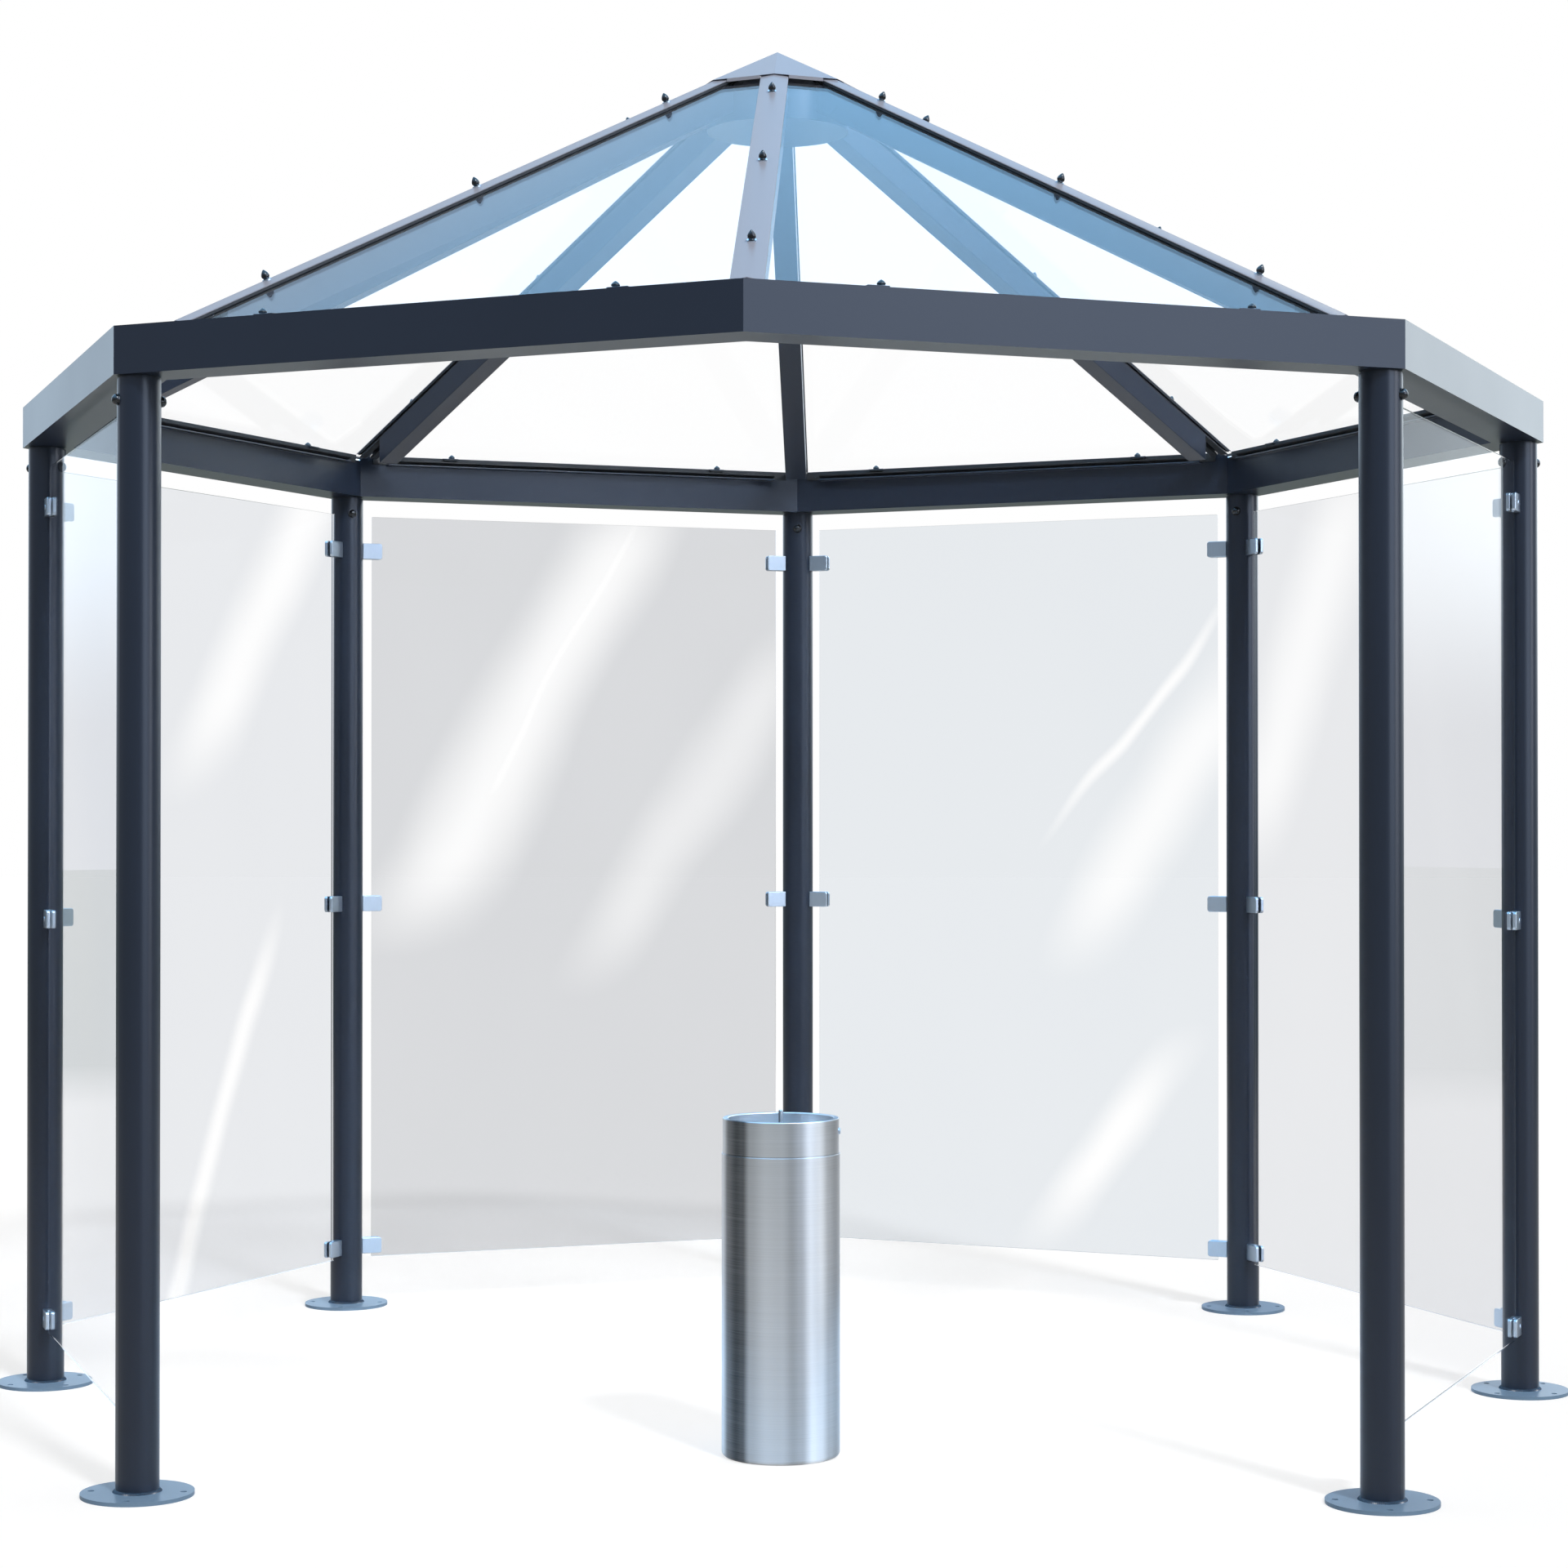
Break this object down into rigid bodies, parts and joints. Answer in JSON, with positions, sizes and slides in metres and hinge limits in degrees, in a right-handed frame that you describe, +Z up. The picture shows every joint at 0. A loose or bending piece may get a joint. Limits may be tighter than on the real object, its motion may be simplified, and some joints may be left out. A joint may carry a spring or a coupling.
{
  "type": "smoking shelter",
  "caption": "Open-fronted octagonal smoking shelter: dark round posts on base plates, folded eaves ring, glazed pyramid roof, clamped glass walls and a steel ash bin.",
  "frame": {"origin": "centre of the octagon on the floor, under the roof's peak", "axes": "+Z up, +Y to the back post, so the open front faces -Y, +X to the right"},
  "size_m": [3.79, 3.7351, 3.228],
  "materials": {
    "anthracite_paint": "satin powder coat, dark anthracite with a blue cast",
    "cover_sheet": "satin powder coat, pale blue grey, on folded cover sheet",
    "roof_glass": "clear toughened glass, faint blue",
    "wall_glass": "clear toughened glass, faint grey",
    "satin_stainless": "satin ground stainless steel",
    "brushed_stainless": "stainless steel brushed round the drum",
    "black_fixings": "black gloss cap nuts and domed bolts",
    "black_rubber": "matt black seal",
    "base_plate_zinc": "semi-gloss pale blue grey"
  },
  "bodies": {
    "root": {"post_front_right": "anthracite_paint", "post_right": "anthracite_paint", "post_back_right": "anthracite_paint", "post_back": "anthracite_paint", "post_back_left": "anthracite_paint", "post_left": "anthracite_paint", "post_front_left": "anthracite_paint", "eaves_front_left": "anthracite_paint", "eaves_front_right": "anthracite_paint", "eaves_right_front": "anthracite_paint", "eaves_right_back": "anthracite_paint", "eaves_back_right": "anthracite_paint", "eaves_back_left": "anthracite_paint", "eaves_left_back": "anthracite_paint", "eaves_left_front": "anthracite_paint", "rafter_front": "anthracite_paint", "rafter_front_right": "anthracite_paint", "rafter_right": "anthracite_paint", "rafter_back_right": "anthracite_paint", "rafter_back": "anthracite_paint", "rafter_back_left": "anthracite_paint", "rafter_left": "anthracite_paint", "rafter_front_left": "anthracite_paint", "roof_hub": "anthracite_paint", "apex_cap": "cover_sheet", "cover_strips": "cover_sheet", "edge_clips": "anthracite_paint", "roof_glass_front_left": "roof_glass", "roof_glass_front_right": "roof_glass", "roof_glass_right_front": "roof_glass", "roof_glass_right_back": "roof_glass", "roof_glass_back_right": "roof_glass", "roof_glass_back_left": "roof_glass", "roof_glass_left_back": "roof_glass", "roof_glass_left_front": "roof_glass", "wall_glass_right_front": "wall_glass", "wall_glass_right_back": "wall_glass", "wall_glass_back_right": "wall_glass", "wall_glass_back_left": "wall_glass", "wall_glass_left_back": "wall_glass", "wall_glass_left_front": "wall_glass", "glass_clamps": "satin_stainless", "ash_bin": "brushed_stainless", "ash_bin_head": "brushed_stainless"}
  },
  "joints": []
}
